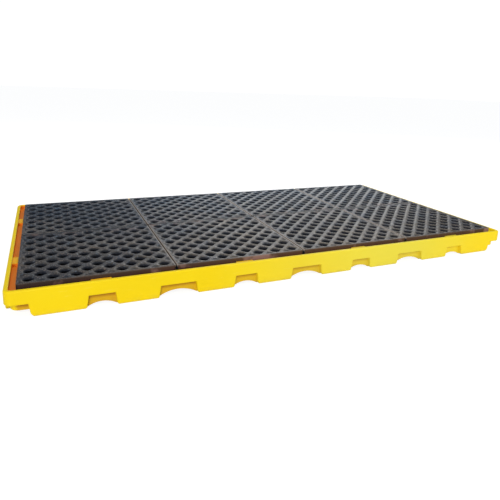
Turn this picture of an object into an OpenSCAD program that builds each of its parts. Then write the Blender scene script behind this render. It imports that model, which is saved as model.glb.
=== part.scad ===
// Bunded work floor: a one-piece moulded sump tray that carries eight loose
// grates in two rows of four, held up inside the sump by loose pedestals.
// Origin at the middle of the footprint, on the ground. X is the length,
// Y the depth, Z up. Millimetres.

/* [Deck] */
// Side of one square deck module: a grate plus its share of the gaps
module_pitch = 775; // [700:5:820]
// Height of the deck above the ground
deck_height = 150; // [145:1:170]
// Clear gap between neighbouring grates
grate_gap = 8; // [4:1:14]
// Depth of a grate from its top to the underside of its ribs
grate_depth = 38; // [30:1:42]

/* [Rim] */
// From the edge of the deck area to the outer face of the tray
deck_margin = 50; // [45:1:70]
// Height of the rim above the ground
rim_height = 137; // [130:1:143]
// Width of the top of the rim
rim_width = 22; // [18:1:30]
// How far the ledge reaches in under the edge of the deck area
ledge_bearing = 25; // [15:1:35]
// Thickness of the ledge
ledge_thickness = 12; // [8:1:16]
// Radius of the tray's corners, seen from above
corner_radius = 40; // [35:1:60]

/* [Locating tabs] */
// Length of a tab along the rim
tab_length = 100; // [60:5:140]
// Height of a tab above the ledge
tab_height = 18; // [10:1:22]
// Clearance between a tab and its grate
tab_clearance = 3; // [2:0.5:5]

/* [Feet] */
// Underside of the band that runs round above the feet
band_bottom = 65; // [55:1:70]
// How far the wall between two feet is set back
recess_depth = 25; // [15:1:30]
// Half width, at the ground, of an arch under a joint between grates
wide_half = 104; // [90:1:110]
// Half width, at the ground, of an arch under the middle of a grate
narrow_half = 73; // [65:1:85]
// Distance, at the ground, from the tray's end to its first foot
corner_notch = 115; // [100:1:125]
// Rise of a wide arch above the ground
wide_rise = 28; // [24:1:28]
// Rise of a narrow arch above the ground
narrow_rise = 20; // [16:1:26]
// Flat stretch of wall beside an arch, at the ground
arch_shoulder = 3; // [2:1:8]
// How much narrower a notch is at the band than at the ground, each side
notch_lean = 10; // [6:1:16]
// Radius of the set back corner, seen from above
recess_corner_radius = 45; // [40:5:90]

/* [Shell] */
// Thickness of the tray's walls
wall = 8; // [6:0.5:9]
// Thickness of the bottom of a foot
foot_bottom = 7; // [6:0.5:10]
// Height of the channels under the sump floor
channel_height = 30; // [29:1:34]

/* [Grate pattern] */
// Side of a square hole, which stands on its corner
hole_side = 46; // [38:1:58]
// Thickness of the grate's top skin
skin = 8; // [6:0.5:12]
// Thickness of the ribs and of the skirt under the skin
rib = 8; // [5:0.5:10]

/* [Pedestals] */
// Radius of a pedestal's foot
pedestal_foot_r = 62; // [55:1:66]
// Radius of a pedestal's head
pedestal_head_r = 56; // [48:1:64]
// Radius of a pedestal's stem at the foot
stem_bottom_r = 48; // [40:1:52]
// Radius of a pedestal's stem at the head
stem_top_r = 40; // [36:1:46]
// Thickness of a pedestal's foot and head
pedestal_plate = 8; // [6:0.5:10]

/* [Hidden] */
$fn = 64;
eps = 1;
grates_long = 4;
grates_deep = 2;
holes_half = 7;                 // hole spacings from a grate's middle to the edge of its module

deck_x = grates_long * module_pitch;
deck_y = grates_deep * module_pitch;
tray_x = deck_x + 2 * deck_margin;
tray_y = deck_y + 2 * deck_margin;
half_pitch = module_pitch / 2;
ledge_top = deck_height - grate_depth;
ledge_bottom = ledge_top - ledge_thickness;
sump_floor = channel_height + wall;
lean = notch_lean / band_bottom;

grate_side = module_pitch - grate_gap;
hole_step = half_pitch / holes_half;
pocket_side = hole_step * sqrt(2) - rib;
pedestal_height = ledge_top - sump_floor;
pedestal_bore_r = stem_top_r - pedestal_plate;
slot_width = 14;
slot_height = 12;

// Arches under one side of the tray, as [centre, half width, rise].
function arches(modules) = [
    for (k = [1 : 2 * modules - 1])
        [(k - modules) * half_pitch, k % 2 == 0 ? wide_half : narrow_half,
         k % 2 == 0 ? wide_rise : narrow_rise]
];
arches_x = arches(grates_long);
arches_y = arches(grates_deep);

GRATE_ROWS = ["front", "back"];
PEDESTAL_ROWS = ["front", "middle", "back"];

// Rectangle centred on the origin with round corners.
module rounded_rect(x, y, r) {
    square([x - 2 * r, y], center = true);
    square([x, y - 2 * r], center = true);
    for (sx = [-1, 1], sy = [-1, 1])
        translate([sx * (x / 2 - r), sy * (y / 2 - r)]) circle(r);
}

// A slab of the tray's footprint between two heights, moved in by inset.
module slab(z0, z1, inset, r) {
    translate([0, 0, z0]) linear_extrude(z1 - z0)
        rounded_rect(tray_x - 2 * inset, tray_y - 2 * inset, r);
}

// The part of the tray that lies behind the set back walls, moved in by inset.
module set_back_slab(z0, z1, inset) {
    slab(z0, z1, recess_depth + inset, recess_corner_radius - inset);
}

// Puts a profile drawn in X and Z upright and runs it along Y from y0 to y1.
module along_y(y0, y1) {
    translate([0, y1, 0]) rotate([90, 0, 0]) linear_extrude(y1 - y0) children();
}

// Turns a shape made for the long sides so that it serves the short ones.
module along_x() {
    rotate([0, 0, 90]) children();
}

// The notch between two feet, up to a height.
module notch_profile(arch, height) {
    translate([arch[0], 0]) polygon([
        [-arch[1] - lean * eps, -eps], [arch[1] + lean * eps, -eps],
        [arch[1] - lean * height, height], [-arch[1] + lean * height, height]
    ]);
}

// The notch beyond the last foot at both ends of a side of that length.
module end_notch_profile(length) {
    for (side = [-1, 1]) notch_profile([side * length / 2, corner_notch], band_bottom);
}

// The round arch that lets the ground show through the wall of a notch.
module arch_profile(arch) {
    half = arch[1] - arch_shoulder;
    r = (half * half + arch[2] * arch[2]) / (2 * arch[2]);
    translate([arch[0], arch[2] - r]) circle(r, $fn = 180);
}

// Notches cut into both long faces of a tray of that length and depth.
module notches(list, length, depth) {
    for (side = [-1, 1]) scale([1, side, 1])
        along_y(-depth / 2 - eps, -depth / 2 + recess_depth + eps) {
            for (arch = list) notch_profile(arch, band_bottom);
            end_notch_profile(length);
        }
}

// The space over each corner of the ground, between the last feet, up to a height.
module corner_notches(height) {
    intersection() {
        along_y(-tray_y / 2 - eps, tray_y / 2 + eps) end_notch_profile(tray_x);
        along_x() along_y(-tray_x / 2 - eps, tray_x / 2 + eps) end_notch_profile(tray_y);
        translate([-tray_x, -tray_y, -2 * eps]) cube([2 * tray_x, 2 * tray_y, height + 2 * eps]);
    }
}

// Arches through the set back walls of both long faces.
module arch_holes(list, depth) {
    for (side = [-1, 1], arch = list) scale([1, side, 1])
        along_y(-depth / 2 + recess_depth - eps, -depth / 2 + recess_depth + wall + eps)
            intersection() {
                arch_profile(arch);
                translate([arch[0], 0]) square(2 * [arch[1] + lean * eps, arch[2] + eps], center = true);
            }
}

// Channels under the sump floor, from one set back wall to the other.
module channels(list, depth) {
    inset = recess_depth + wall;
    for (arch = list)
        along_y(-depth / 2 + inset, depth / 2 - inset) notch_profile(arch, channel_height);
}

// The hollow inside the rows of feet between the channels, over the full depth.
module foot_pockets(list, length, depth) {
    top = band_bottom + wall;
    last = len(list);
    for (k = [0 : last])
        let (x0 = k == 0 ? -length / 2 + wall : list[k - 1][0] + list[k - 1][1] + wall,
             x1 = k == last ? length / 2 - wall : list[k][0] - list[k][1] - wall,
             lean0 = k == 0 ? 0 : lean,
             lean1 = k == last ? 0 : lean)
        along_y(-depth / 2 + wall, depth / 2 - wall) polygon([
            [x0 - lean0 * foot_bottom, foot_bottom], [x1 + lean1 * foot_bottom, foot_bottom],
            [x1 + lean1 * top, top], [x0 - lean0 * top, top]
        ]);
}

// Blocks that keep the pockets clear of the notches and of the rounded walls at the corners.
module corner_keepouts() {
    reach = corner_notch + wall;
    for (sx = [-1, 1], sy = [-1, 1]) scale([sx, sy, 1])
        translate([tray_x / 2 - reach, tray_y / 2 - reach, 0])
            cube([reach, reach, band_bottom + wall]);
}

// Everything that holds liquid or grates, as one solid to take out of the tray.
module sump_space() {
    inner_r = corner_radius - rim_width;
    slab(ledge_top, rim_height + eps, rim_width, inner_r);
    slab(ledge_bottom - eps, ledge_top + eps, deck_margin + ledge_bearing, inner_r);
    slab(band_bottom + wall, ledge_bottom, wall, corner_radius - wall);
    set_back_slab(sump_floor, band_bottom + wall + eps, wall);
    difference() {
        intersection() {
            foot_pockets(arches_x, tray_x, tray_y);
            along_x() foot_pockets(arches_y, tray_y, tray_x);
        }
        corner_keepouts();
    }
}

// Tabs on the ledge at the middle of every grate's outer side.
module locating_tabs() {
    reach = deck_margin + grate_gap / 2 - tab_clearance - rim_width;
    for (side = [-1, 1], c = [0 : grates_long - 1])
        translate([(c - (grates_long - 1) / 2) * module_pitch,
                   side * (tray_y / 2 - rim_width - reach / 2), ledge_top + tab_height / 2])
            cube([tab_length, reach, tab_height], center = true);
    for (side = [-1, 1], c = [0 : grates_deep - 1])
        translate([side * (tray_x / 2 - rim_width - reach / 2),
                   (c - (grates_deep - 1) / 2) * module_pitch, ledge_top + tab_height / 2])
            cube([reach, tab_length, tab_height], center = true);
}

// The outside of the tray: a band on a row of feet, with set back walls between them.
module tray_outside() {
    difference() {
        slab(0, rim_height, 0, corner_radius);
        difference() {
            union() {
                notches(arches_x, tray_x, tray_y);
                along_x() notches(arches_y, tray_y, tray_x);
                corner_notches(band_bottom + eps);
            }
            set_back_slab(-2 * eps, band_bottom + eps, 0);
        }
        arch_holes(arches_x, tray_y);
        along_x() arch_holes(arches_y, tray_x);
        corner_notches(channel_height);
        channels(arches_x, tray_y);
        along_x() channels(arches_y, tray_x);
    }
}

module sump_tray() {
    color("gold") {
        difference() {
            tray_outside();
            sump_space();
        }
        locating_tabs();
    }
}

// Squares standing on their corners, where holes or pockets go, reach steps out.
module lattice(side, reach) {
    for (i = [-reach : reach], j = [-reach : reach])
        if ((i + j) % 2 == 0 && abs(i % 2) == abs(j % 2))
            translate([i * hole_step, j * hole_step]) rotate(45) square(side, center = true);
}

// One grate with its middle at the origin and its top at deck height.
module grate() {
    color("dimgray") {
        translate([0, 0, deck_height - skin]) linear_extrude(skin) difference() {
            square(grate_side, center = true);
            lattice(hole_side, holes_half - 1);
        }
        translate([0, 0, ledge_top]) linear_extrude(grate_depth - skin) difference() {
            square(grate_side, center = true);
            intersection() {
                square(grate_side - 2 * rib, center = true);
                lattice(pocket_side, holes_half);
            }
        }
    }
}

// A hollow post with a flanged foot and head; slots at its foot let liquid through.
module pedestal() {
    color("black") translate([0, 0, sump_floor]) difference() {
        rotate_extrude() polygon([
            [pedestal_bore_r, 0], [pedestal_foot_r, 0],
            [pedestal_foot_r, pedestal_plate], [stem_bottom_r, pedestal_plate],
            [stem_top_r, pedestal_height - pedestal_plate],
            [pedestal_head_r, pedestal_height - pedestal_plate],
            [pedestal_head_r, pedestal_height], [0, pedestal_height],
            [0, pedestal_height - pedestal_plate],
            [pedestal_bore_r, pedestal_height - pedestal_plate]
        ]);
        for (turn = [0, 90]) rotate(turn)
            translate([0, 0, slot_height / 2 - eps / 2])
                cube([2 * pedestal_foot_r + 2, slot_width, slot_height + eps], center = true);
    }
}

sump_tray();

for (row = [0 : grates_deep - 1], c = [0 : grates_long - 1])
    translate([(c - (grates_long - 1) / 2) * module_pitch,
                   (row - (grates_deep - 1) / 2) * module_pitch, 0])
            grate();

for (row = [0 : len(PEDESTAL_ROWS) - 1], c = [1 : 2 * grates_long - 1])
    translate([(c - grates_long) * half_pitch, (row - 1) * half_pitch, 0])
            pedestal();
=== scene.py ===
"""Looks for a bunded work floor: a moulded sump tray, eight lattice grates and their pedestals."""

import math

import bmesh
import bpy
from mathutils import Euler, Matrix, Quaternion, Vector


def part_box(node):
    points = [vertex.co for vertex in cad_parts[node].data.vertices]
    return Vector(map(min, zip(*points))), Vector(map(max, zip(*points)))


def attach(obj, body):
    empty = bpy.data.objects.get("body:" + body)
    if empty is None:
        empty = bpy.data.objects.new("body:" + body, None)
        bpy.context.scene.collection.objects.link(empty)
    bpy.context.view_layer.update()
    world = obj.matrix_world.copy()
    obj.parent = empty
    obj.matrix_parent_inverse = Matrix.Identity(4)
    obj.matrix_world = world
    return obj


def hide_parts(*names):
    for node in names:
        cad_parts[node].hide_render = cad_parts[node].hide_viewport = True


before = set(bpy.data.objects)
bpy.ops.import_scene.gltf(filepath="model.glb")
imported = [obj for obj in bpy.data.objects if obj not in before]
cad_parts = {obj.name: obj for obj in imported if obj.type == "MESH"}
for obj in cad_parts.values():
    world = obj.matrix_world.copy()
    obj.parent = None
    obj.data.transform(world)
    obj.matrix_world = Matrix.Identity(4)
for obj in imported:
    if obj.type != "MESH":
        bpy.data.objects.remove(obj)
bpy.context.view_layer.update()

MM = 0.001

# ---------------------------------------------------------------- sizes and places

GRATES = sorted(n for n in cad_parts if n.startswith("grate_"))
PEDESTALS = sorted(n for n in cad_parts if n.startswith("pedestal_"))
# The body that the sump tray belongs to
ROOT = "tray"

_, tray_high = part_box("sump_tray")
grate_low, grate_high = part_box("grate_front_1")
next_low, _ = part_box("grate_front_2")

DECK_Z = grate_high.z
GRATE_HALF = (grate_high.x - grate_low.x) / 2
# A grate's depth, in mm like the profiles that end at it
GRATE_DEPTH = (grate_high.z - grate_low.z) / MM
# From the middle of one grate to the middle of the next
MODULE = next_low.x - grate_low.x
# The lattice's cells are diamonds two steps wide. It is this many steps from a grate's middle to
# the edge of its share of the deck.
REACH = 7
STEP = MODULE / (2 * REACH)
RIM_Z = tray_high.z
HALF_X, HALF_Y = tray_high.x, tray_high.y

# Sizes of the tray that its box doesn't give
RIM_WIDTH = 22 * MM
BAND_BOTTOM = 65 * MM
CORNER_RADIUS = 40 * MM
# How far the walls behind the arches are set back
RECESS_DEPTH = 25 * MM
# How far in the notches at the tray's corners reach at the ground, and how far their ends lean
NOTCH_END = 115 * MM
NOTCH_LEAN = 10 * MM
# A height just above the channels that run under the tray's floor
ABOVE_CHANNELS = 34 * MM

# Points nearer than this are one point
ONE_POINT = 0.05 * MM


def middle(node):
    low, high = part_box(node)
    return (low + high) / 2


# ---------------------------------------------------------------- small mesh helpers


def new_object(name, data):
    piece = bpy.data.objects.new(name, data)
    bpy.context.scene.collection.objects.link(piece)
    return piece


def apply_modifiers(piece):
    """Bakes a piece's modifiers into its mesh."""
    bpy.context.view_layer.update()
    graph = bpy.context.evaluated_depsgraph_get()
    done = bpy.data.meshes.new_from_object(piece.evaluated_get(graph))
    piece.modifiers.clear()
    old, piece.data = piece.data, done
    bpy.data.meshes.remove(old)
    return piece


def cut_and_mark(bm, point, normal):
    """Cuts a mesh by a plane and marks the cut, so that the faces beside it aren't joined again."""
    whole = bm.verts[:] + bm.edges[:] + bm.faces[:]
    made = bmesh.ops.bisect_plane(bm, geom=whole, dist=0.01 * MM, plane_co=point, plane_no=normal)
    for part in made["geom_cut"]:
        if isinstance(part, bmesh.types.BMEdge):
            part.seam = True


def softened(node, name, weight_of, width, segments, cuts, shape):
    """A copy of a CAD node's shape with its flat faces joined and its edges rounded.
    weight_of(middle of the edge, True if it is convex) gives the edge's share of width.
    cuts are planes (point, normal) that keep a ring-shaped flat face in more than one piece.
    shape changes the mesh before its edges are rounded."""
    bm = bmesh.new()
    bm.from_mesh(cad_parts[node].data)
    bmesh.ops.remove_doubles(bm, verts=bm.verts, dist=0.02 * MM)
    for point, normal in cuts:
        cut_and_mark(bm, point, normal)
    flat = math.radians(0.6)
    bmesh.ops.dissolve_limit(bm, angle_limit=flat, verts=bm.verts, edges=bm.edges, delimit={"SEAM"})
    shape(bm)
    layer = bm.edges.layers.float.new("bevel_weight_edge")
    for e in bm.edges:
        if len(e.link_faces) == 2 and e.calc_face_angle() > math.radians(30):
            e[layer] = weight_of((e.verts[0].co + e.verts[1].co) / 2, e.is_convex)
    data = bpy.data.meshes.new(name)
    bm.to_mesh(data)
    bm.free()
    piece = new_object(name, data)
    bevel = piece.modifiers.new("round", "BEVEL")
    bevel.limit_method = "WEIGHT"
    bevel.width = width
    bevel.segments = segments
    bevel.use_clamp_overlap = False
    return apply_modifiers(piece)


# Edges that turn by more than this are left crisp
SHARP_ANGLE = math.radians(42)


def shade(data):
    """Smooth shading, broken at the crisp edges."""
    bm = bmesh.new()
    bm.from_mesh(data)
    for f in bm.faces:
        f.smooth = True
    for e in bm.edges:
        e.smooth = e.calc_face_angle(math.pi) < SHARP_ANGLE
    bm.to_mesh(data)
    bm.free()


# ---------------------------------------------------------------- grate mesh

# Points in each ring inside a cell, and how square the rings are: 2 would make them round
RING_POINTS = 24
SQUARENESS = 4.5
# How a rib is crowned, from its centre line to the hole: (distance in, depth), in mm
CROWN = [(3, 0.15), (6, 0.65), (9, 1.7), (12, 3.4), (14.8, 5.8), (17, 8.6), (18.4, 12)]
# The same for a closed panel, a shallow dish
PANEL = CROWN[:4] + [(15.5, 6)]
# Depth of the lower end of a hole's throat, in mm
THROAT_BOTTOM = 14.5
# The pocket between the thin ribs under a cell, from the bottom up: (distance in, depth), in mm
POCKET = [(4, GRATE_DEPTH), (5, THROAT_BOTTOM + 2)]
# How much further the rings stay from a grate's outer edge than from the middle of a rib
LAND = 3 * MM
# A cell whose inside radius is smaller than this has its rings and its crown scaled down
FULL_CELL = 17 / 0.72 * MM
# Roundings of a grate's top edge and, in plan, of its corners
EDGE_ROUND = 3 * MM
PLAN_ROUND = 9 * MM
# The rounded outer edge of a grate, from its top down: (distance out, depth), in mm
SKIRT = [(1.5, 0.4), (2.6, 1.4), (3, 3), (3, 12), (3, 30), (3, GRATE_DEPTH - 0.8), (2.2, GRATE_DEPTH)]
# Half planes that make up a grate's outline: its four sides and three more at each corner
OUTLINE_PLANES = 16


def outline_planes(half, radius):
    """Half planes (normal, distance) round a square with round corners."""
    planes = []
    for k in range(OUTLINE_PLANES):
        angle = 2 * math.pi * k / OUTLINE_PLANES
        normal = Vector((math.cos(angle), math.sin(angle)))
        to_corner = Vector((abs(normal.x), abs(normal.y))).dot(Vector((1, 1))) * (half - radius)
        is_side = k % (OUTLINE_PLANES // 4) == 0
        planes.append((normal, half if is_side else to_corner + radius))
    return planes


def clipped(polygon, normal, distance):
    """A convex polygon of (point, is it on the border) cut by a half plane."""
    out = []
    for i, (p, border) in enumerate(polygon):
        q = polygon[(i + 1) % len(polygon)][0]
        a, b = normal.dot(p) - distance, normal.dot(q) - distance
        if a <= 0:
            out.append((p, border))
        if a <= 0 < b:
            out.append((p.lerp(q, a / (a - b)), True))
        elif b <= 0 < a:
            out.append((p.lerp(q, a / (a - b)), border))
    return [
        item
        for i, item in enumerate(out)
        if (item[0] - out[(i + 1) % len(out)][0]).length > ONE_POINT
    ]


def cell_polygon(i, j, planes):
    """The diamond round lattice point i, j, cut by the grate's outline."""
    c = Vector((i * STEP, j * STEP))
    reach = [Vector((STEP, 0)), Vector((0, STEP)), Vector((-STEP, 0)), Vector((0, -STEP))]
    polygon = [(c + r, False) for r in reach]
    for normal, distance in planes:
        if polygon:
            polygon = clipped(polygon, normal, distance)
    return polygon


class Cell:
    """One diamond of the lattice, with rings of points inside it at any distance from its ribs."""

    def __init__(self, polygon, centre):
        self.centre = centre
        self.corners = [p for p, _ in polygon]
        # A corner is on the border where the side before it or after it is
        self.on_border = [on or polygon[i - 1][1] for i, (_, on) in enumerate(polygon)]
        self.sides = []
        for i, (p, border) in enumerate(polygon):
            q = polygon[(i + 1) % len(polygon)][0]
            normal = Vector((q.y - p.y, p.x - q.x)).normalized()
            self.sides.append((normal, normal.dot(p) - normal.dot(centre), border))
        self.shrink = min(1.0, min(distance for _, distance, _ in self.sides) / FULL_CELL)

    def ring(self, inset, land):
        """A rounded outline, inset from the sides, and by land more from those on the border."""
        points = []
        for k in range(RING_POINTS):
            angle = 2 * math.pi * k / RING_POINTS
            u = Vector((math.cos(angle), math.sin(angle)))
            total = 0.0
            for normal, distance, border in self.sides:
                facing = normal.dot(u)
                if facing > 1e-6:
                    free = distance - inset - (land if border else 0)
                    total += (facing / max(free, 1e-5)) ** SQUARENESS
            points.append(self.centre + u * total ** (-1 / SQUARENESS))
        return points

    def corner_steps(self):
        """For each corner of the polygon, the ring point that faces it."""
        found = []
        for p in self.corners:
            d = p - self.centre
            turn = math.atan2(d.y, d.x) / (2 * math.pi) * RING_POINTS
            found.append(round(turn) % RING_POINTS)
        return found


def lattice_cells(planes):
    """Every cell of a grate, and True if it has a hole. The cells that the sides cut are closed."""
    for i in range(-REACH, REACH + 1):
        for j in range(-REACH, REACH + 1):
            if (i + j) % 2:
                continue
            polygon = cell_polygon(i, j, planes)
            if len(polygon) < 3:
                continue
            whole = abs(i) < REACH and abs(j) < REACH
            centre = sum((p for p, _ in polygon), Vector((0, 0))) / len(polygon)
            yield Cell(polygon, Vector((i * STEP, j * STEP)) if whole else centre), whole


def pushed(p, out):
    """A point on the grate's outline, moved outwards."""
    flat = GRATE_HALF - EDGE_ROUND - PLAN_ROUND
    core = Vector((max(-flat, min(flat, p.x)), max(-flat, min(flat, p.y))))
    away = p - core
    return p + away.normalized() * out if away.length > 1e-9 else p


def bridge(bm, a, b, flip=False):
    """Joins two rings of as many points."""
    n = len(a)
    for k in range(n):
        quad = [a[k], a[(k + 1) % n], b[(k + 1) % n], b[k]]
        bm.faces.new(quad[::-1] if flip else quad)


def collar(bm, cell, corners, ring, flip=False):
    """Joins a cell's corners to the first ring inside it."""
    steps = cell.corner_steps()
    for i in range(len(corners)):
        j = (i + 1) % len(corners)
        k, loop = steps[i], [ring[steps[i]]]
        while k != steps[j]:
            k = (k + 1) % RING_POINTS
            loop.append(ring[k])
        face = [corners[i], corners[j]] + loop[::-1]
        bm.faces.new(face[::-1] if flip else face)


def put(bm, points, depth):
    """New vertices at points in plan, depth mm below the deck."""
    return [bm.verts.new((p.x, p.y, DECK_Z - depth * MM)) for p in points]


def crowned_top(bm, cell, crown):
    """The top of a cell, from its ribs' centre lines inwards. Gives the last ring."""
    last = None
    for inset, depth in crown:
        now = put(bm, cell.ring(inset * MM * cell.shrink, LAND * cell.shrink), depth * cell.shrink)
        if last is None:
            collar(bm, cell, put(bm, cell.corners, 0), now)
        else:
            bridge(bm, last, now)
        last = now
    return last


def underside(bm, cell):
    """The underside of a cell, up to its pocket's upper end. Gives the ring there."""
    low, high = [
        put(bm, cell.ring(inset * MM * cell.shrink, LAND * cell.shrink), depth)
        for inset, depth in POCKET
    ]
    skirt_out = SKIRT[-1][0] * MM
    outer = [pushed(p, skirt_out) if on else p for p, on in zip(cell.corners, cell.on_border)]
    collar(bm, cell, put(bm, outer, GRATE_DEPTH), low, flip=True)
    bridge(bm, low, high, flip=True)
    return high


def skirt(bm, border_points):
    """The wall round the outside of a grate."""
    loop = []
    for p in sorted(border_points, key=lambda p: math.atan2(p.y, p.x)):
        if not loop or (p - loop[-1]).length > ONE_POINT:
            loop.append(p)
    if (loop[0] - loop[-1]).length <= ONE_POINT:
        loop.pop()
    last = put(bm, loop, 0)
    for out, depth in SKIRT:
        now = put(bm, [pushed(p, out * MM) for p in loop], depth)
        bridge(bm, last, now, flip=True)
        last = now


def grate_mesh():
    """One grate about its own middle, with its top at deck height."""
    bm = bmesh.new()
    border_points = []
    for cell, has_hole in lattice_cells(outline_planes(GRATE_HALF - EDGE_ROUND, PLAN_ROUND)):
        border_points += [p for p, on in zip(cell.corners, cell.on_border) if on]
        top = crowned_top(bm, cell, CROWN if has_hole else PANEL)
        under = underside(bm, cell)
        if has_hole:
            throat = put(bm, cell.ring(CROWN[-1][0] * MM, LAND), THROAT_BOTTOM)
            bridge(bm, top, throat)
            bridge(bm, throat, under)
        else:
            bm.faces.new(top)
            bm.faces.new(under[::-1])
    skirt(bm, border_points)
    bmesh.ops.remove_doubles(bm, verts=bm.verts, dist=0.02 * MM)
    data = bpy.data.meshes.new("grate")
    bm.to_mesh(data)
    bm.free()
    return data


# ---------------------------------------------------------------- materials

YELLOW, WARM_YELLOW = (0.83, 0.60, 0.001), (0.80, 0.565, 0.001)
# Painted sheen right of the middle, and painted light at the right end
SHEEN_YELLOW, RIGHT_END_LIGHT_YELLOW = (0.78, 0.71, 0.085), (0.93, 0.68, 0.008)
# Painted shade in the recesses, and painted shadow under the band
RECESS_SHADE_BROWN, UNDER_BAND_SHADOW_BROWN = (0.54, 0.245, 0.012), (0.33, 0.125, 0.006)
# Painted bounce light and shade in the groove inside the rim
GROOVE_BOUNCE_ORANGE, GROOVE_SHADE_ORANGE = (0.90, 0.40, 0.010), (0.88, 0.20, 0.015)
SCUFF, GROUND_DIRT = (0.90, 0.74, 0.16), (0.42, 0.30, 0.09)

BLUE_BLACK, BLACK = (0.006, 0.008, 0.014), (0.011, 0.012, 0.016)
# Worn rib tops; more of these colours towards the right is painted sheen
WORN_AND_SHEEN_BLUE, WORN_AND_SHEEN_BROWN = (0.026, 0.049, 0.088), (0.100, 0.071, 0.036)
BROWN_FLECK, BLUE_FLECK = (0.38, 0.26, 0.18), (0.19, 0.29, 0.41)
# The second of these is painted light on the shaded seam walls, pale like dust
DUST, SEAM_WALL_LIGHT, RED_DIRT = (0.17, 0.14, 0.11), (0.30, 0.24, 0.20), (0.20, 0.105, 0.075)
# Painted shade beside the middle seam
SEAM_SHADE_BLACK = (0.008, 0.009, 0.012)
DARK_STAIN, RUST_STAIN, SPILL = (0.030, 0.018, 0.014), (0.110, 0.058, 0.030), (0.30, 0.19, 0.16)
WARM_SHINE, BLUE_SHINE = (1.0, 0.97, 0.93), (0.68, 0.86, 1.0)

POST_BLACK, POST_GREY = (0.020, 0.020, 0.022), (0.035, 0.034, 0.033)


class Nodes:
    """Short names for building a material's nodes."""

    def __init__(self, name):
        self.material = bpy.data.materials.new(name)
        self.material.use_nodes = True
        self.tree = self.material.node_tree
        self.shader = self.tree.nodes["Principled BSDF"]

    def add(self, kind, **settings):
        node = self.tree.nodes.new(kind)
        for key, value in settings.items():
            setattr(node, key, value)
        return node

    def link(self, source, target):
        self.tree.links.new(source, target)

    def place(self, scale):
        """Object coordinates, stretched, and moved by an amount that differs from piece to piece."""
        coords = self.add("ShaderNodeTexCoord")
        mapping = self.add("ShaderNodeMapping")
        mapping.inputs["Scale"].default_value = scale
        self.link(coords.outputs["Object"], mapping.inputs["Vector"])
        piece = self.add("ShaderNodeObjectInfo")
        moved = self.add("ShaderNodeVectorMath", operation="MULTIPLY_ADD")
        self.link(piece.outputs["Random"], moved.inputs[0])
        moved.inputs[1].default_value = (17, 29, 41)
        self.link(mapping.outputs["Vector"], moved.inputs[2])
        return moved.outputs["Vector"]

    def noise(self, scale, detail=4, rough=0.5, stretch=(1, 1, 1)):
        node = self.add("ShaderNodeTexNoise")
        node.inputs["Scale"].default_value = scale
        node.inputs["Detail"].default_value = detail
        node.inputs["Roughness"].default_value = rough
        self.link(self.place(stretch), node.inputs["Vector"])
        return node.outputs["Fac"]

    def ramp(self, source, start, end):
        """0 up to start and 1 from end on. It runs the other way where end is below start."""
        node = self.add("ShaderNodeMapRange")
        node.inputs["From Min"].default_value = start
        node.inputs["From Max"].default_value = end
        self.link(source, node.inputs["Value"])
        return node.outputs["Result"]

    def math(self, operation, a, b):
        node = self.add("ShaderNodeMath", operation=operation)
        for socket, value in zip(node.inputs, (a, b)):
            if isinstance(value, (int, float)):
                socket.default_value = value
            else:
                self.link(value, socket)
        return node.outputs["Value"]

    def times(self, first, *others):
        """The product of all that is given."""
        for other in others:
            first = self.math("MULTIPLY", first, other)
        return first

    def plus(self, a, b):
        return self.math("ADD", a, b)

    def minus(self, a, b):
        return self.math("SUBTRACT", a, b)

    def unsigned(self, value):
        return self.math("ABSOLUTE", value, 0)

    def mix(self, factor, a, b):
        node = self.add("ShaderNodeMix", data_type="RGBA")
        self.link(factor, node.inputs[0])
        for socket, value in ((node.inputs[6], a), (node.inputs[7], b)):
            if isinstance(value, tuple):
                socket.default_value = (*value, 1)
            else:
                self.link(value, socket)
        return node.outputs[2]

    def tint(self, colour, where, strength, tone):
        """A colour taken towards a tone, at most by strength, in the places where the mask is 1."""
        return self.mix(self.times(where, strength), colour, tone)

    def axis(self, name):
        """One of a point's own coordinates, X, Y or Z, on its piece at rest."""
        coords = self.add("ShaderNodeTexCoord")
        split = self.add("ShaderNodeSeparateXYZ")
        self.link(coords.outputs["Object"], split.inputs["Vector"])
        return split.outputs[name]

    def deck(self, name):
        """A point's X or Y on the whole deck, whichever grate it is on."""
        piece = self.add("ShaderNodeObjectInfo")
        split = self.add("ShaderNodeSeparateXYZ")
        self.link(piece.outputs["Location"], split.inputs["Vector"])
        return self.plus(split.outputs[name], self.axis(name))

    def bump(self, height, distance, strength, under=None):
        node = self.add("ShaderNodeBump")
        node.inputs["Distance"].default_value = distance
        node.inputs["Strength"].default_value = strength
        self.link(height, node.inputs["Height"])
        if under is not None:
            self.link(under, node.inputs["Normal"])
        return node.outputs["Normal"]

    def finish(self, colour, roughness, normal):
        self.link(colour, self.shader.inputs["Base Color"])
        self.link(roughness, self.shader.inputs["Roughness"])
        self.link(normal, self.shader.inputs["Normal"])
        return self.material


def further_in(m, start, end):
    """0 up to start inside the tray's outer walls and 1 from end on, on all four sides."""
    return m.times(
        m.ramp(m.unsigned(m.axis("X")), HALF_X - start, HALF_X - end),
        m.ramp(m.unsigned(m.axis("Y")), HALF_Y - start, HALF_Y - end),
    )


def painted_recess_shade(m, colour, to_left):
    """Painted shade, brown, on the set back walls of the two long sides, and a darker painted shadow
    most of all just under the band.
    """
    z = m.axis("Z")
    # Painted shade on the set back walls behind the arches
    recess_shade = m.times(
        further_in(m, RECESS_DEPTH - 2 * MM, RECESS_DEPTH - 0.5 * MM),
        m.ramp(z, BAND_BOTTOM + 8 * MM, BAND_BOTTOM + 2 * MM),
        to_left,
        m.ramp(m.unsigned(m.axis("X")), HALF_X - 45 * MM, HALF_X - 60 * MM),
    )
    # Painted shadow just under the band
    under_band_shadow = m.times(recess_shade, m.ramp(z, BAND_BOTTOM - 28 * MM, BAND_BOTTOM - 12 * MM))
    colour = m.tint(colour, recess_shade, 0.65, RECESS_SHADE_BROWN)
    return m.tint(colour, under_band_shadow, 0.8, UNDER_BAND_SHADOW_BROWN)


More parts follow.
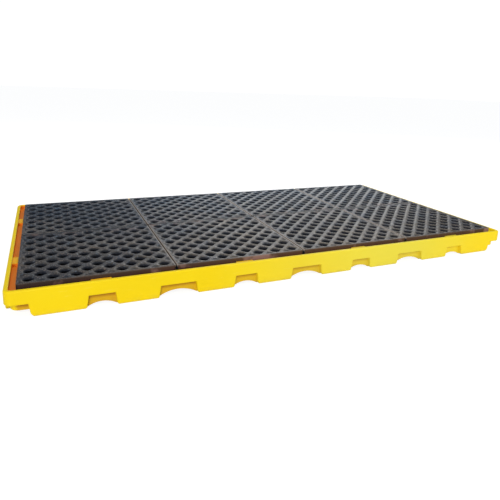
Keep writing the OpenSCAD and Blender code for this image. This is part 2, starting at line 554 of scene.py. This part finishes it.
def painted_groove_shade(m, colour, to_left):
    """Painted bounce light and shade, more orange, between the rim and the grates, and deeper painted
    shade below the rim's edge.
    """
    z = m.axis("Z")
    # Painted shade and bounce light in the groove between the rim and the grates
    groove_shade = m.times(
        further_in(m, RIM_WIDTH - 3 * MM, RIM_WIDTH - 0.5 * MM),
        to_left,
        m.ramp(z, BAND_BOTTOM + 10 * MM, BAND_BOTTOM + 20 * MM),
    )
    # Deeper painted shade below the rim's edge
    below_edge_shade = m.times(groove_shade, m.ramp(z, RIM_Z - 7 * MM, RIM_Z - 10 * MM))
    colour = m.tint(colour, groove_shade, 0.8, GROOVE_BOUNCE_ORANGE)
    return m.tint(colour, below_edge_shade, 0.85, GROOVE_SHADE_ORANGE)


def yellow_plastic():
    """Moulded polyethylene: pebbled, a little uneven in colour, with a painted sheen right of the
    middle and painted light at the right end, painted shade and bounce light inside the rim and in
    the recesses at the left, scuffed, and dirty near the ground."""
    m = Nodes("yellow_polyethylene")
    x = m.axis("X")
    colour = m.mix(m.ramp(m.noise(3.2, detail=3), 0.35, 0.7), YELLOW, WARM_YELLOW)
    # Painted sheen: paler, less saturated yellow right of the middle
    painted_sheen = m.times(m.ramp(x, -0.6, 0.5), m.ramp(x, 1.5, 1.2))
    colour = m.tint(colour, painted_sheen, 0.6, SHEEN_YELLOW)
    # Painted light: a brighter yellow towards the right end
    colour = m.mix(m.ramp(x, 0.8, 1.5), colour, RIGHT_END_LIGHT_YELLOW)
    # to_left makes the painted shade below stronger towards the left
    to_left = m.ramp(x, 1.5, -1.0)
    colour = painted_recess_shade(m, colour, to_left)
    colour = painted_groove_shade(m, colour, to_left)
    scuffs = m.ramp(m.noise(46, detail=6, rough=0.62, stretch=(0.35, 0.35, 2.2)), 0.62, 0.74)
    colour = m.tint(colour, scuffs, 0.2, SCUFF)
    near_ground = m.ramp(m.axis("Z"), 30 * MM, 0)
    dirt = m.times(near_ground, m.ramp(m.noise(24, detail=5), 0.4, 0.75))
    colour = m.tint(colour, dirt, 0.3, GROUND_DIRT)
    roughness = m.ramp(m.noise(9, detail=4), -0.9, 2.0)
    pebble = m.bump(m.noise(520, detail=2), 0.4 * MM, 0.35)
    normal = m.bump(m.noise(7, detail=2), 4 * MM, 0.25, pebble)
    m.shader.inputs["Specular IOR Level"].default_value = 0.18
    return m.finish(colour, roughness, normal)


def worn_ribs_and_sheen(m, top, back, right, grain):
    """Dark hole walls, and ribs whose flats are worn: bluish at the back, browner at the front, with
    flecks and patches of dust, and paler towards the right as painted sheen."""
    colour = m.mix(m.ramp(m.noise(6, detail=3), 0.35, 0.7), BLUE_BLACK, BLACK)
    brown = m.ramp(m.noise(11, detail=6, rough=0.7), 0.31, 0.57)
    brown = m.ramp(m.minus(brown, m.times(back, 0.7)), 0, 1)
    # The shares that grow to the right are painted sheen; the rest is wear
    grained = m.times(grain, m.plus(m.times(right, 0.42), 0.33))
    wear_and_sheen = m.times(top, m.plus(grained, m.times(right, 0.25)))
    colour = m.mix(wear_and_sheen, colour, m.mix(brown, WORN_AND_SHEEN_BLUE, WORN_AND_SHEEN_BROWN))
    flecks = m.times(top, m.ramp(m.noise(130, detail=2), 0.54, 0.66))
    fleck_colour = m.mix(m.ramp(m.noise(22), 0.4, 0.6), BROWN_FLECK, BLUE_FLECK)
    colour = m.tint(colour, flecks, 0.45, fleck_colour)
    patches = m.ramp(m.noise(2.9, detail=6, rough=0.62), 0.44, 0.72)
    dust = m.times(patches, top, m.plus(grain, 0.2))
    return m.tint(colour, dust, 0.6, DUST)


def seam_dirt_light_and_shade(m, colour, top):
    """Painted light, pale like dust, on the shaded edges along the cross seams, reddish dirt near the
    middle seam, and painted shade on the ribs beside the middle seam in places, so that it shows
    less."""
    # Painted light on the shaded side walls in the cross seams
    edges = m.times(
        m.ramp(m.unsigned(m.axis("X")), GRATE_HALF - 6 * MM, GRATE_HALF - 2 * MM),
        m.ramp(m.axis("Z"), DECK_Z - 14 * MM, DECK_Z - 6 * MM),
        m.ramp(m.unsigned(m.deck("X")), 1.5, 1.4),
    )
    colour = m.tint(colour, edges, 0.8, SEAM_WALL_LIGHT)
    from_seam = m.unsigned(m.deck("Y"))
    red = m.times(
        m.ramp(from_seam, 120 * MM, 20 * MM),
        m.ramp(m.noise(9, detail=5), 0.52, 0.66),
        top,
    )
    colour = m.tint(colour, red, 0.4, RED_DIRT)
    # Painted shade on the ribs beside the middle seam, broken up by noise
    beside_seam = m.ramp(from_seam, 30 * MM, 22 * MM)
    painted_seam_shade = m.times(beside_seam, m.ramp(m.noise(26, detail=3), 0.40, 0.58))
    return m.tint(colour, painted_seam_shade, 0.8, SEAM_SHADE_BLACK)


def stained_front(m, colour, right, grain):
    """Brown stains on the front faces of the front grates, rustier to the right, and dried spills."""
    front = m.ramp(m.deck("Y"), 8 * MM - MODULE, 5 * MM - MODULE)
    stain = m.times(front, m.plus(m.times(grain, 0.3), 0.5))
    colour = m.mix(stain, colour, DARK_STAIN)
    colour = m.tint(colour, stain, right, RUST_STAIN)
    spills = m.times(front, m.ramp(m.noise(5, detail=4), 0.57, 0.64))
    return m.tint(colour, spills, 0.7, SPILL)


def black_lattice():
    """Moulded black polyethylene, worn and dirty, with painted sheen and painted light and shade at
    the seams, and its hole walls dull.
    """
    m = Nodes("dark_grate_polyethylene")
    top = m.ramp(m.axis("Z"), DECK_Z - 6.5 * MM, DECK_Z - 1 * MM)
    back = m.ramp(m.deck("Y"), -0.7, 0.7)
    # right weighs the painted sheen on the rib tops, the gloss, and the rust on the front faces
    right = m.ramp(m.deck("X"), -1.7, -0.2)
    grain = m.ramp(m.noise(110, detail=5, rough=0.75), 0.32, 0.66)
    colour = worn_ribs_and_sheen(m, top, back, right, grain)
    colour = seam_dirt_light_and_shade(m, colour, top)
    colour = stained_front(m, colour, right, grain)
    gloss = m.times(top, m.plus(m.times(right, 0.17), 0.18))
    m.link(m.plus(gloss, 0.18), m.shader.inputs["Specular IOR Level"])
    m.link(m.mix(back, WARM_SHINE, BLUE_SHINE), m.shader.inputs["Specular Tint"])
    roughness = m.ramp(m.noise(20, detail=4), -1.1, 1.9)
    normal = m.bump(m.noise(380, detail=3), 0.5 * MM, 0.4)
    return m.finish(colour, roughness, normal)


def black_post():
    """Moulded black polyethylene, a little uneven in colour."""
    m = Nodes("black_post_polyethylene")
    colour = m.mix(m.ramp(m.noise(30, detail=5), 0.35, 0.7), POST_BLACK, POST_GREY)
    roughness = m.ramp(m.noise(14, detail=4), -1.0, 2.2)
    normal = m.bump(m.noise(420, detail=2), 0.4 * MM, 0.35)
    return m.finish(colour, roughness, normal)


def grey(level):
    return (level, level, level, 1)


def pale_floor():
    """Shows white with a faint shadow, and throws less light back up than it shows."""
    m = Nodes("pale_floor")
    m.shader.inputs["Base Color"].default_value = grey(0.72)
    shown = m.add("ShaderNodeBsdfPrincipled")
    shown.inputs["Base Color"].default_value = grey(0.25)
    shown.inputs["Emission Color"].default_value = grey(1)
    shown.inputs["Emission Strength"].default_value = 0.88
    for shader in (m.shader, shown):
        shader.inputs["Roughness"].default_value = 0.9
    seen = m.add("ShaderNodeLightPath")
    choose = m.add("ShaderNodeMixShader")
    m.link(seen.outputs["Is Camera Ray"], choose.inputs["Fac"])
    m.link(m.shader.outputs["BSDF"], choose.inputs[1])
    m.link(shown.outputs["BSDF"], choose.inputs[2])
    m.link(choose.outputs["Shader"], m.tree.nodes["Material Output"].inputs["Surface"])
    return m.material


# ---------------------------------------------------------------- the tray

# Planes (point, normal) between the tabs that keep the tray's ring-shaped faces in several pieces
TRAY_CUTS = [((x, 0, 0), (1, 0, 0)) for x in (-1.35, -0.58, 0.58, 1.35)]
TRAY_CUTS += [((0, y, 0), (0, 1, 0)) for y in (-0.21, 0.21)]

# How far a side is worn back at each height above the ground, in mm: beside the arches, and at the
# tray's corners
FOOT_ROUND = [(0, 7), (2, 3.4), (5, 1), (9, 0)]
END_ROUND = [(0, 13), (4, 7.5), (9, 3.5), (15, 1), (22, 0)]

TRAY_ROUND = 8 * MM
TRAY_ROUND_STEPS = 4


def along_profile(profile, z):
    """The second value of a profile at the height z, both in mm."""
    for (z0, v0), (z1, v1) in zip(profile, profile[1:]):
        if z <= z1:
            return v0 + (v1 - v0) * (z - z0) / (z1 - z0)
    return profile[-1][1]


def foot_sides(bm, axis, ends):
    """The upright faces at the sides of the feet that cross an axis, 0 for X and 1 for Y.
    ends picks the outermost ones instead of those beside the arches."""
    half = (HALF_X, HALF_Y)
    slack = 1 * MM
    found = []
    for f in bm.faces:
        if abs(f.normal[axis]) < 0.9 or max(v.co.z for v in f.verts) > BAND_BOTTOM + slack / 2:
            continue
        depths = [half[axis] - abs(v.co[axis]) for v in f.verts]
        at_end = max(depths) < NOTCH_END + slack and min(depths) > NOTCH_END - NOTCH_LEAN - slack
        from_side = [half[1 - axis] - abs(v.co[1 - axis]) for v in f.verts]
        outside = max(from_side) < RECESS_DEPTH + slack / 2
        wanted = at_end if ends else (outside and not at_end)
        if wanted:
            found.append(f)
    return found


def round_feet(bm):
    """Rounds off the lower corners of every foot, and more widely at the tray's corners."""
    bm.normal_update()
    shifts = {}
    for axis in (0, 1):
        for ends, profile in ((False, FOOT_ROUND), (True, END_ROUND)):
            for z, _ in profile[1:]:
                faces = foot_sides(bm, axis, ends)
                edges = {e for f in faces for e in f.edges}
                verts = {v for f in faces for v in f.verts}
                bmesh.ops.bisect_plane(
                    bm,
                    geom=list(verts) + list(edges) + faces,
                    dist=0.01 * MM,
                    plane_co=(0, 0, z * MM),
                    plane_no=(0, 0, 1),
                )
                bm.normal_update()
            for f in foot_sides(bm, axis, ends):
                for v in f.verts:
                    away = -1 if f.normal[axis] > 0 else 1
                    shifts[(v, axis)] = away * along_profile(profile, v.co.z / MM) * MM
    for (v, axis), amount in shifts.items():
        v.co[axis] += amount


def from_outline(p):
    """How far inside the tray's outer walls a point is, in plan."""
    x = abs(p.x) - (HALF_X - CORNER_RADIUS)
    y = abs(p.y) - (HALF_Y - CORNER_RADIUS)
    return CORNER_RADIUS - (math.hypot(x, y) if x > 0 and y > 0 else max(x, y))


def tray_weight(mid, convex):
    """Share of the widest rounding that an edge of the tray takes. Inward corners and the channels
    under the floor stay sharp."""
    outer = from_outline(mid) < 2 * MM
    if not convex:
        return 0.0
    if mid.z > RIM_Z - 1 * MM:
        return 1.0 if outer else 0.55
    if outer:
        return 0.8
    return 0.0 if mid.z < ABOVE_CHANNELS else 0.25


# ---------------------------------------------------------------- the pieces


def make_tray(material):
    tray = softened(
        "sump_tray", "tray_moulding", tray_weight, TRAY_ROUND, TRAY_ROUND_STEPS, TRAY_CUTS, round_feet
    )
    shade(tray.data)
    tray.data.materials.clear()
    tray.data.materials.append(material)
    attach(tray, ROOT)
    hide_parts("sump_tray")
    weighted = tray.modifiers.new("even_shading", "WEIGHTED_NORMAL")
    weighted.keep_sharp = True


def make_grates(material):
    mesh = grate_mesh()
    shade(mesh)
    mesh.materials.append(material)
    for node in GRATES:
        where = middle(node)
        piece = new_object("lattice_" + node, mesh)
        piece.location = (where.x, where.y, 0)
        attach(piece, node)
        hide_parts(node)


def colour_pedestals(material):
    """The pedestals keep their CAD shape."""
    for node in PEDESTALS:
        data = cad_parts[node].data
        data.materials.clear()
        data.materials.append(material)


# ---------------------------------------------------------------- stage, light and camera

# Half the side of the floor, in metres
FLOOR_HALF = 60
# The floor stays this far under the tray, so that no two faces share a plane
FLOOR_GAP = 0.3 * MM

SKY_COLOUR = (0.86, 0.93, 1.0, 1)
SKY_STRENGTH = 0.35
BACKDROP_STRENGTH = 1.05

WHITE, WARM_WHITE = (1, 1, 1), (0.98, 0.97, 0.94)
# Area lights: name, place, what it points at, size, watts, colour
LIGHTS = [
    ("key", (-5.0, -10.0, 4.5), (0, 0, 0), (6, 6), 745, WHITE),
    ("low", (-4.5, -7.0, 0.9), (-0.6, -0.8, 0.05), (3.5, 1.2), 60, WHITE),
    ("fill", (4.0, -4.5, 2.0), (1.2, -0.8, 0), (3, 2), 50, WHITE),
    ("glare", (4.2, 6.9, 2.4), (0.5, 0, 0), (6.5, 2.5), 235, WARM_WHITE),
    ("overhead", (0, 0, 6.0), (0, 0, 0), (5, 4), 135, WHITE),
]

CAMERA_PLACE = (-1.3893, -3.0807, 1.1011)
# Degrees: right of straight back, above level, and turned about the line of sight
CAMERA_BEARING, CAMERA_TILT, CAMERA_ROLL = 23.854, -11.869, 2.155
CAMERA_LENS, CAMERA_SENSOR, CAMERA_SHIFT_Y = 33.94, 36, -0.132
CAMERA_CLIP_END = 200


def make_stage():
    bm = bmesh.new()
    corners = [(-1, -1), (1, -1), (1, 1), (-1, 1)]
    bm.faces.new([bm.verts.new((x * FLOOR_HALF, y * FLOOR_HALF, -FLOOR_GAP)) for x, y in corners])
    data = bpy.data.meshes.new("floor")
    bm.to_mesh(data)
    bm.free()
    floor = new_object("floor", data)
    data.materials.append(pale_floor())


def area_light(name, place, target, size, power, colour):
    data = bpy.data.lights.new(name, "AREA")
    data.shape = "RECTANGLE"
    data.size, data.size_y = size
    data.energy = power
    data.color = colour
    light = new_object(name, data)
    light.location = place
    light.rotation_mode = "QUATERNION"
    light.rotation_quaternion = (Vector(target) - Vector(place)).to_track_quat("-Z", "Y")


def make_light():
    """A white backdrop for the camera, a dim cool sky that lights the object, and soft boxes: in
    front, low in front, at the right, behind the deck as glare on it, and overhead."""
    world = bpy.data.worlds.new("studio")
    bpy.context.scene.world = world
    world.use_nodes = True
    tree = world.node_tree
    sky = tree.nodes["Background"]
    sky.inputs["Color"].default_value = SKY_COLOUR
    sky.inputs["Strength"].default_value = SKY_STRENGTH
    backdrop = tree.nodes.new("ShaderNodeBackground")
    backdrop.inputs["Color"].default_value = grey(1)
    backdrop.inputs["Strength"].default_value = BACKDROP_STRENGTH
    seen = tree.nodes.new("ShaderNodeLightPath")
    choose = tree.nodes.new("ShaderNodeMixShader")
    tree.links.new(seen.outputs["Is Camera Ray"], choose.inputs["Fac"])
    tree.links.new(sky.outputs["Background"], choose.inputs[1])
    tree.links.new(backdrop.outputs["Background"], choose.inputs[2])
    tree.links.new(choose.outputs["Shader"], tree.nodes["World Output"].inputs["Surface"])
    for light in LIGHTS:
        area_light(*light)
    bpy.context.scene.view_settings.view_transform = "Standard"


def make_camera():
    """Stands in front of the tray's left end and looks to the right and a little down."""
    data = bpy.data.cameras.new("camera")
    data.sensor_width = CAMERA_SENSOR
    data.lens = CAMERA_LENS
    data.shift_y = CAMERA_SHIFT_Y
    data.clip_end = CAMERA_CLIP_END
    camera = new_object("camera", data)
    camera.location = CAMERA_PLACE
    upright = math.pi / 2 + math.radians(CAMERA_TILT)
    level = Euler((upright, 0, -math.radians(CAMERA_BEARING))).to_quaternion()
    camera.rotation_mode = "QUATERNION"
    camera.rotation_quaternion = level @ Quaternion((0, 0, 1), math.radians(CAMERA_ROLL))
    bpy.context.scene.camera = camera


make_camera()
make_stage()
make_light()
make_tray(yellow_plastic())
make_grates(black_lattice())
colour_pedestals(black_post())
